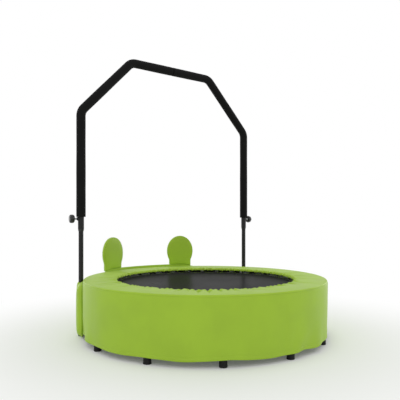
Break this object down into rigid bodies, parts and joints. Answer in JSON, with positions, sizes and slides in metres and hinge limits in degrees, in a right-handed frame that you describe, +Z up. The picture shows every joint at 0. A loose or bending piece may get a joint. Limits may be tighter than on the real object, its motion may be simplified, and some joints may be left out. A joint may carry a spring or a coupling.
{
  "type": "children's trampoline",
  "caption": "Round mini trampoline with a padded fabric cover and skirt, sprung mat, screw-on legs and a height-adjustable padded handle bar.",
  "frame": {"origin": "centre of the circle of feet, on the floor", "axes": "+Z up, +Y towards the handle bar and the two ears at the back, +X to the right seen from the front"},
  "size_m": [1.028, 1.035, 1.2056],
  "materials": {
    "black_steel": "satin powder coat",
    "zinc_steel": "zinc plated",
    "foot_rubber": "matte",
    "green_fabric": "coated weave",
    "elastic": "braided",
    "pad_foam": "closed-cell foam",
    "stay_plastic": "plain",
    "black_plastic": "fine grain",
    "mat_mesh": "tight woven mesh",
    "webbing": "ribbed weave",
    "grip_foam": "closed-cell foam"
  },
  "bodies": {
    "root": {"frame_arc_right": "black_steel", "frame_arc_rear": "black_steel", "frame_arc_left": "black_steel", "frame_arc_front": "black_steel", "arc_joiners": "zinc_steel", "leg_studs": "black_steel", "leg_inserts": "black_plastic", "leg_01": "black_steel", "leg_02": "black_steel", "leg_03": "black_steel", "leg_04": "black_steel", "leg_05": "black_steel", "leg_06": "black_steel", "leg_07": "black_steel", "leg_08": "black_steel", "leg_09": "black_steel", "leg_10": "black_steel", "leg_11": "black_steel", "leg_12": "black_steel", "leg_caps": "foot_rubber", "springs": "zinc_steel", "foam_ring": "pad_foam", "cover_top": "green_fabric", "cover_skirt": "green_fabric", "hem_elastic": "elastic", "ear_left": "green_fabric", "ear_right": "green_fabric", "ear_stays": "stay_plastic", "ear_band": "green_fabric", "side_pad_left": "green_fabric", "side_pad_right": "green_fabric", "post_left": "black_steel", "post_right": "black_steel", "post_caps": "foot_rubber", "post_nuts": "zinc_steel", "post_spacers": "black_plastic", "post_bolts": "zinc_steel", "post_guides": "black_plastic"},
    "mat": {"v_rings": "zinc_steel", "mat_tabs": "webbing", "mat_webbing": "webbing", "jumping_mat": "mat_mesh"},
    "handle": {"upper_tube_left": "black_steel", "upper_tube_right": "black_steel", "tube_joiner": "zinc_steel", "guide_bush_left": "black_plastic", "guide_bush_right": "black_plastic", "foam_grip_left": "grip_foam", "foam_grip_right": "grip_foam", "screw_boss_left": "black_steel", "screw_boss_right": "black_steel"},
    "knob_left": {"clamp_screw_left": "zinc_steel", "knob_left": "black_plastic"},
    "knob_right": {"clamp_screw_right": "zinc_steel", "knob_right": "black_plastic"}
  },
  "joints": [
    {"name": "handle_height", "type": "slide", "parent": "root", "child": "handle", "axis": [0, 0, 1], "range_m": [-0.1, 0.1]},
    {"name": "mat_bounce", "type": "slide", "parent": "root", "child": "mat", "axis": [0, 0, 1], "range_m": [-0.08, 0], "stiffness_N_per_m": 5000, "springref_m": 0.002, "deforming": ["springs"]},
    {"name": "knob_left_turn", "type": "hinge", "parent": "handle", "child": "knob_left", "pos_m": [-0.45224, 0.2611, 0.4885], "axis": [-0.9903, 0.1392, 0], "range_deg": [0, 720]},
    {"name": "knob_right_turn", "type": "hinge", "parent": "handle", "child": "knob_right", "pos_m": [0.45224, 0.2611, 0.4885], "axis": [0.9903, 0.1392, 0], "range_deg": [0, 720]}
  ]
}
